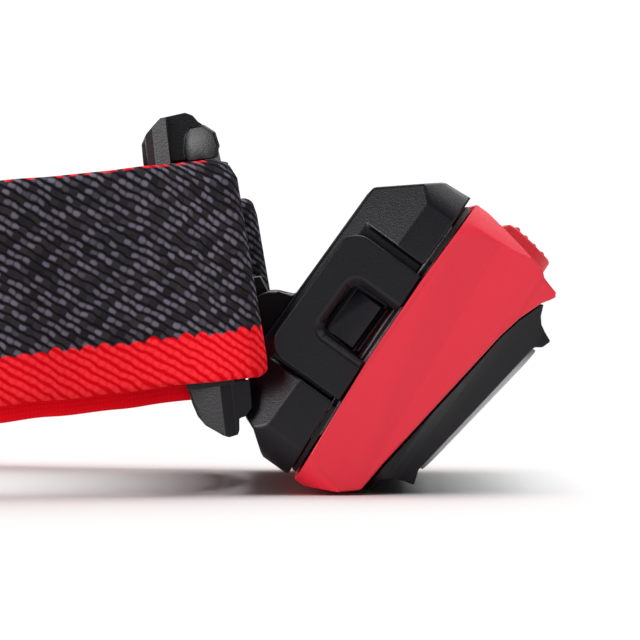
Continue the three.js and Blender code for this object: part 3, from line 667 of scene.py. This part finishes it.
def webbing_mesh():
    """The webbing's skin, with lengths along and up it as its texture, and its whole length."""
    route = smooth_route(loop_route(), STEP)
    section = web_section()
    fold_at = min(range(len(route) // 2), key=lambda i: (route[i] - Vector((*FOLD[1], 0))).length)
    bm = bmesh.new()
    lengths = bm.loops.layers.uv.new("weave")
    rings, marks = [], []
    mark = 0.0
    for i, place in enumerate(route):
        before, after = route[max(i - 1, 0)], route[min(i + 1, len(route) - 1)]
        along = (after - before).normalized()
        out = Vector((-along.y, along.x, 0))
        at_fold = ease((place.x - FLAT_SPAN[0]) / FLAT_SPAN[1])
        mark += STEP * (1 + FOLD_GATHER * at_fold)
        marks.append(mark)
        rise = web_height(place, i < fold_at, i < len(route) // 2)
        bow = 0.10 * math.sin(0.33 * i * STEP) + 0.07 * math.sin(0.81 * i * STEP + 1.0)
        scallop = SCALLOP * math.sin(2 * math.pi * mark / GRAIN_PITCH)
        ring = []
        for across, through in section:
            forward, lifted = gather(place, across)
            edge = abs(across) > WEB_WIDTH / 2 - WEB_THICKNESS
            depth = through + (bow * (1 - at_fold)) * 0.6
            x = place.x + out.x * depth + forward
            y = place.y + out.y * depth
            reach = across + (math.copysign(scallop, across) if edge else 0)
            ring.append(bm.verts.new(strap_point(x, y, rise + reach + lifted + 0.5 * bow)))
        rings.append(ring)
    size = len(section)
    for i, (one, two) in enumerate(zip(rings, rings[1:])):
        for k in range(size):
            n = (k + 1) % size
            face = bm.faces.new((one[k], two[k], two[n], one[n]))
            face.smooth = True
            face.material_index = 0 if section[k][1] + section[n][1] > 0 else 1
            corners = ((i, k), (i + 1, k), (i + 1, n), (i, n))
            for loop, (at_ring, at_side) in zip(face.loops, corners):
                loop[lengths].uv = (marks[at_ring], section[at_side][0] + WEB_WIDTH / 2)
    for ring in (rings[0], rings[-1]):
        bm.faces.new(ring).material_index = 1
    bmesh.ops.recalc_face_normals(bm, faces=bm.faces)
    mesh = bpy.data.meshes.new("head_loop")
    bm.to_mesh(mesh)
    bm.free()
    mesh.materials.append(TWILL)
    mesh.materials.append(PLAIN_WEAVE)
    return mesh, STEP * (len(route) - 1)


def head_loop():
    mesh, length = webbing_mesh()
    obj = bpy.data.objects.new("head_loop", mesh)
    bpy.context.scene.collection.objects.link(obj)
    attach(obj, "headband")
    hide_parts("strap_near", "strap_back", "strap_far")
    return obj


# ---- forehead pad and stitching -----------------------------------------------------------------

PAD_HALF = (20.0, 12.8)
PAD_MIDDLE = 5.4
PAD_CORNER = 4.0
PAD_DEPTH = 2.6
PAD_CHANNELS = (-6.8, 6.8)
PAD_SEAM = 1.9
PAD_EDGE = 0.45  # how far the edge seam stands off the bracket
PAD_ROUND = 4.5
SEAM_PULL = (0.34, 0.55)  # how deep the thread draws the pad in, and how far from itself
CHANNEL_PULL = (0.42, 0.75)
PUCKER = (0.045, 2.2)
PLATE_BACK = -4.3 - 3.05  # the plate's back at its middle, and how it curves away to the wings
PLATE_CURVE = (3.2, 28, 2.2)
STITCH = (1.5, 0.9, 0.19)  # length, gap and radius
STITCH_STEPS = 6
STITCH_SIDES = 6
TAIL_BOX = (-49.0, -40.5, -8.5, 8.5)


def pad_outline(a, b):
    """A square's point (a, b), each from -1 to 1, carried to the pad's round-cornered outline."""
    spots = []
    for value, half, other in ((a, PAD_HALF[0], b), (b, PAD_HALF[1], a)):
        spots.append(value * half * (1 - 0.022 * (1 - other * other)))
    over = [max(0.0, abs(p) - (half - PAD_CORNER)) / PAD_CORNER for p, half in zip(spots, PAD_HALF)]
    if over[0] > 0 and over[1] > 0:
        bent = (
            over[0] * math.sqrt(1 - over[1] ** 2 / 2),
            over[1] * math.sqrt(1 - over[0] ** 2 / 2),
        )
        spots = [
            math.copysign(half - PAD_CORNER + PAD_CORNER * o, p)
            for p, half, o in zip(spots, PAD_HALF, bent)
        ]
    return spots


def pad_crown(a, b):
    """How full the pad is at a point: round at its edge, drawn in along its seam and channels."""
    y, z = pad_outline(a, b)
    inset = min((1 - abs(a)) * PAD_HALF[0], (1 - abs(b)) * PAD_HALF[1])
    full = math.sqrt(1 - (1 - min(inset / PAD_ROUND, 1.0)) ** 2)
    full -= SEAM_PULL[0] * math.exp(-(((inset - PAD_SEAM) / SEAM_PULL[1]) ** 2))
    for channel in PAD_CHANNELS:
        off = y - channel
        pull = CHANNEL_PULL[0] * math.exp(-((off / CHANNEL_PULL[1]) ** 2))
        full -= pull * min(1.0, inset / 2.5)
        pucker = PUCKER[0] * math.sin(2.7 * z) * math.exp(-((off / PUCKER[1]) ** 2))
        full += pucker * min(1.0, inset / 4)
    return full + 0.03 * math.sin(0.9 * y + 0.6 * z) * min(1.0, inset / 4)


def pad_point(a, b, depth):
    """A point of the pad in the scene, at a depth off the plate's curved back."""
    y, z = pad_outline(a, b)
    drop, half, power = PLATE_CURVE
    seat = PLATE_BACK - drop * (abs(y) / half) ** power
    return strap_point(seat - depth, y, PAD_MIDDLE + z)


def pad_rear(a, b):
    return PAD_EDGE + PAD_DEPTH * pad_crown(a, b)


def forehead_pad():
    """The pad: two crowned faces of knit fabric that meet in a seam all round."""
    columns, rows = 96, 64
    bm = bmesh.new()
    sides = []
    for rear in (True, False):
        grid = {}
        for i in range(columns + 1):
            for k in range(rows + 1):
                a, b = 2 * i / columns - 1, 2 * k / rows - 1
                rim = i in (0, columns) or k in (0, rows)
                if rim and not rear:
                    grid[i, k] = sides[0][i, k]
                    continue
                depth = PAD_EDGE
                if rear and not rim:
                    depth = pad_rear(a, b)
                elif not rim:
                    depth -= 0.4 * max(0.0, pad_crown(a, b))
                grid[i, k] = bm.verts.new(pad_point(a, b, depth))
        sides.append(grid)
        for i in range(columns):
            for k in range(rows):
                corners = (grid[i, k], grid[i + 1, k], grid[i + 1, k + 1], grid[i, k + 1])
                bm.faces.new(corners).smooth = True
    bmesh.ops.recalc_face_normals(bm, faces=bm.faces)
    pad = piece_of(bm, "forehead_cushion", LOOKS["pad_foam"])
    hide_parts("forehead_pad")
    return pad


def piece_of(bm, name, material):
    """Makes a mesh an object that rides with the head loop."""
    mesh = bpy.data.meshes.new(name)
    bm.to_mesh(mesh)
    bm.free()
    mesh.materials.append(material)
    obj = bpy.data.objects.new(name, mesh)
    bpy.context.scene.collection.objects.link(obj)
    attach(obj, "headband")
    return obj


def sew(bm, line, lift):
    """Adds a row of thread stitches along a line of (place, outward direction)."""
    length, gap, radius = STITCH
    marks = [0.0]
    for one, two in zip(line, line[1:]):
        marks.append(marks[-1] + (two[0] - one[0]).length / MM)

    def at(mark):
        k = next((k for k in range(1, len(marks)) if marks[k] >= mark), len(marks) - 1)
        share = (mark - marks[k - 1]) / max(marks[k] - marks[k - 1], 1e-9)
        (one, out_one), (two, out_two) = line[k - 1], line[k]
        return one.lerp(two, share), out_one.lerp(out_two, share).normalized()

    start = 0.0
    while start + length <= marks[-1]:
        rings = []
        for step in range(STITCH_STEPS + 1):
            share = step / STITCH_STEPS
            place, out = at(start + length * share)
            near, _ = at(start + length * share - 0.01)
            along = (at(start + length * share + 0.01)[0] - near).normalized()
            side = along.cross(out).normalized()
            rise = (lift + 0.10 * math.sin(math.pi * share) - 0.18 * (2 * share - 1) ** 4) * MM
            thick = radius * (1 - 0.45 * (2 * share - 1) ** 4) * MM
            ring = []
            for turn in range(STITCH_SIDES):
                angle = turn * math.pi * 2 / STITCH_SIDES
                lifted = out * (rise + thick * math.sin(angle))
                ring.append(bm.verts.new(place + lifted + side * thick * math.cos(angle)))
            rings.append(ring)
        for one, two in zip(rings, rings[1:]):
            for turn in range(STITCH_SIDES):
                after = (turn + 1) % STITCH_SIDES
                bm.faces.new((one[turn], one[after], two[after], two[turn])).smooth = True
        bm.faces.new(rings[0][::-1])
        bm.faces.new(rings[-1])
        start += length + gap


def pad_stitching():
    """The thread of the pad's edge seam and its two sewn channels."""
    bm = bmesh.new()
    back = -STRAP_FORE
    a_in, b_in = 1 - PAD_SEAM / PAD_HALF[0], 1 - PAD_SEAM / PAD_HALF[1]
    corners = [(-a_in, -b_in), (a_in, -b_in), (a_in, b_in), (-a_in, b_in), (-a_in, -b_in)]
    lines = [[]]
    for (a0, b0), (a1, b1) in zip(corners, corners[1:]):
        for k in range(40):
            lines[0].append((a0 + (a1 - a0) * k / 40, b0 + (b1 - b0) * k / 40))
    for channel in PAD_CHANNELS:
        lines.append([(channel / PAD_HALF[0], b_in * (k / 24 * 2 - 1)) for k in range(25)])
    for line in lines:
        sew(bm, [(pad_point(a, b, pad_rear(a, b)), back) for a, b in line], 0.02)
    bmesh.ops.recalc_face_normals(bm, faces=bm.faces)
    thread_piece = piece_of(bm, "pad_stitching", THREAD)


def webbing_face_line(spots):
    """A line over the near side's outer face, from (x, height above the webbing's middle) spots."""
    route = [p for p in smooth_route(loop_route(), STEP) if p.y < 0]
    outer = [p for p in route if abs(p.y) > 30 and p.x < -6 and not on_inner_layer(p)]
    line = []
    for x, height in spots:
        near = min(outer, key=lambda p: abs(p.x - x))
        k = route.index(near)
        along = (route[k + 1] - route[k - 1]).normalized()
        out = Vector((-along.y, along.x, 0))
        spot = near + along * ((x - near.x) / along.x) + out * (WEB_THICKNESS / 2)
        direction = STRAP_FORE * out.x + Vector((0, out.y, 0))
        rise = web_height(near, False, True) + height
        line.append((strap_point(spot.x, spot.y, rise), direction))
    return line


def on_inner_layer(place):
    """Whether a point of the route is on a tail, which lies inside the side run."""
    for (x0, y0), (x1, y1) in zip(SIDE_RUN, SIDE_RUN[1:]):
        if x1 <= place.x <= x0:
            middle = y0 + (y1 - y0) * (place.x - x0) / (x1 - x0)
            return abs(place.y) < abs(middle) - 1.5
    return False


def strap_stitching():
    """The near tail is sewn down by a boxed cross through both layers."""
    bm = bmesh.new()
    left, right, low, high = TAIL_BOX
    box = [(left, low), (right, low), (right, high), (left, high), (left, low)]
    for row in (box, [(left, low), (right, high)], [(left, high), (right, low)]):
        spots = []
        for (x0, z0), (x1, z1) in zip(row, row[1:]):
            spots += [(x0 + (x1 - x0) * k / 16, z0 + (z1 - z0) * k / 16) for k in range(17)]
        sew(bm, webbing_face_line(spots), 0.06)
    bmesh.ops.recalc_face_normals(bm, faces=bm.faces)
    thread_piece = piece_of(bm, "strap_stitching", THREAD)


# ---- studio -------------------------------------------------------------------------------------


ROOM_STRENGTH = 0.17
PAPER_STRENGTH = 1.05


def studio():
    """White paper, three softboxes kept off it, and two wide suns from above."""
    scene = bpy.context.scene
    floor_mesh = bpy.data.meshes.new("studio_floor")
    size = 3.0
    floor_mesh.from_pydata(
        [(-size, -size, 0), (size, -size, 0), (size, size, 0), (-size, size, 0)], [], [(0, 1, 2, 3)]
    )
    floor_mesh.materials.append(studio_floor())
    floor = bpy.data.objects.new("studio_floor", floor_mesh)
    scene.collection.objects.link(floor)
    studio_light(scene)
    boxes = [
        softbox("left_softbox", (-0.60, -0.52, 0.19), (0.42, 0.34), 12.0),
        softbox("right_softbox", (0.75, -0.25, 0.45), (0.4, 0.5), 1.6),
        softbox("rear_softbox", (0.20, 0.85, 0.45), (0.5, 0.5), 1.6),
    ]
    keep_off(floor, boxes)
    scene.view_settings.view_transform = "Standard"
    suns = {  # name: direction to it, strength, and spread in degrees
        "key": ((0.18, -0.06, 1.00), 2.08, 50),
        "fill": ((0.30, 0.55, 1.00), 1.2, 60),
    }
    for name, (toward, strength, spread) in suns.items():
        light = bpy.data.lights.new(name, "SUN")
        light.energy = strength
        light.angle = math.radians(spread)
        lamp = bpy.data.objects.new(name, light)
        scene.collection.objects.link(lamp)
        lamp.rotation_euler = Vector(toward).to_track_quat("Z", "Y").to_euler()


def softbox(name, place, size, radiance):
    """An upright light of even brightness, facing the lamp."""
    light = bpy.data.lights.new(name, "AREA")
    light.shape = "RECTANGLE"
    light.size, light.size_y = size
    light.energy = radiance * math.pi * size[0] * size[1]
    lamp = bpy.data.objects.new(name, light)
    bpy.context.scene.collection.objects.link(lamp)
    lamp.location = place
    facing = Vector((place[0] - PIVOT.x, place[1], 0))
    lamp.rotation_euler = facing.to_track_quat("Z", "Y").to_euler()
    return lamp


def keep_off(floor, lamps):
    """The softboxes light the object and not the floor, whose white then stays even."""
    shaded = bpy.data.collections.new("not_lit_by_softboxes")
    shaded.objects.link(floor)
    shaded.collection_objects[0].light_linking.link_state = "EXCLUDE"
    for lamp in lamps:
        lamp.light_linking.receiver_collection = shaded


def studio_light(scene):
    """White paper all round as the camera sees it, and a dimmer room as the object does."""
    world = bpy.data.worlds.new("studio")
    scene.world = world
    world.use_nodes = True
    nodes, links = world.node_tree.nodes, world.node_tree.links
    room = nodes["Background"]
    room.inputs["Color"].default_value = (1, 1, 1, 1)
    room.inputs["Strength"].default_value = ROOM_STRENGTH
    paper = nodes.new("ShaderNodeBackground")
    paper.inputs["Color"].default_value = (1, 1, 1, 1)
    paper.inputs["Strength"].default_value = PAPER_STRENGTH
    seen = nodes.new("ShaderNodeMixShader")
    links.new(nodes.new("ShaderNodeLightPath").outputs["Is Camera Ray"], seen.inputs[0])
    links.new(room.outputs[0], seen.inputs[1])
    links.new(paper.outputs[0], seen.inputs[2])
    links.new(seen.outputs[0], nodes["World Output"].inputs["Surface"])


def camera():
    """A long lens level with the lamp, a touch above it, from the wearer's right."""
    distance = 0.5
    elevation = math.radians(1.0)
    view_width = 0.0714
    target = PIVOT + Vector((0.0055, -0.030, 0.0))
    data = bpy.data.cameras.new("camera")
    data.sensor_width = 36
    data.lens = data.sensor_width * distance / view_width
    data.clip_start = 0.01
    eye = bpy.data.objects.new("camera", data)
    bpy.context.scene.collection.objects.link(eye)
    eye.location = target + Vector((0, -math.cos(elevation), math.sin(elevation))) * distance
    eye.rotation_euler = (target - eye.location).to_track_quat("-Z", "Y").to_euler()
    bpy.context.scene.camera = eye


studio()
camera()
dress_frame()
moulded("rear_case", 0.3)
moulded("front_shell", 0.25, narrow=2.8, flat=2.0)
moulded("bezel", 0.2)
moulded("latch_arm", 0.25)
moulded("bracket", 0.1, sharp=12)
moulded("mode_button", 0.2)
moulded("lens", 0.12)
head_loop()
forehead_pad()
pad_stitching()
strap_stitching()
